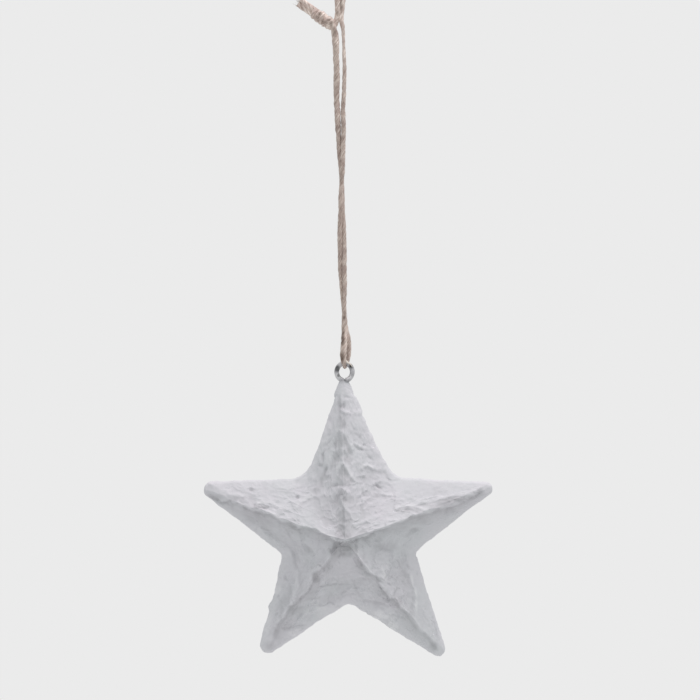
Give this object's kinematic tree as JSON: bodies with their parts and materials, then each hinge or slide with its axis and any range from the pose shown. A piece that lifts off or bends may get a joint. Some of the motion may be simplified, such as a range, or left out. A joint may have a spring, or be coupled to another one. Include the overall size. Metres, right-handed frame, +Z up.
{
  "type": "hanging star ornament",
  "caption": "Ridged papier-mache star with rough white pasted paper skin, hanging by a screwed-in metal eye from a knotted loop of jute twine.",
  "frame": {"origin": "top of the twine loop, where a nail, hook or twig carries it", "axes": "+Z up along the hanging twine, -Y out of the star's front, +X to the right seen from the front"},
  "size_m": [0.0994, 0.035, 0.2422],
  "materials": {
    "white_paper": "matte white paint over pasted paper, wrinkled",
    "raw_card": "unpainted pressed card",
    "paper_tape": "gummed brown paper tape",
    "plug_wood": "bare pale wood",
    "eye_metal": "dull zinc-plated steel wire",
    "jute_twine": "hairy two-ply jute"
  },
  "bodies": {
    "hanger": {"twine_top_loop": "jute_twine", "twine_knot": "jute_twine", "twine_tail_upper": "jute_twine", "twine_tail_lower": "jute_twine", "twine_left_leg": "jute_twine", "twine_right_leg": "jute_twine"},
    "bight": {"twine_eye_bight": "jute_twine"},
    "star": {"screw_eye": "eye_metal", "eye_collar": "white_paper", "front_paper_skin": "white_paper", "back_paper_skin": "white_paper", "front_card_form": "raw_card", "back_card_form": "raw_card", "seam_tape": "paper_tape", "eye_plug": "plug_wood"}
  },
  "joints": [
    {"name": "twine_twist", "type": "hinge", "parent": "hanger", "child": "bight", "pos_m": [0, 0, -0.1411], "axis": [0, 0, 1], "range_deg": [-180, 180]},
    {"name": "star_swing", "type": "hinge", "parent": "bight", "child": "star", "pos_m": [0, 0, -0.1411], "axis": [1, 0, 0], "range_deg": [-90, 90]}
  ]
}
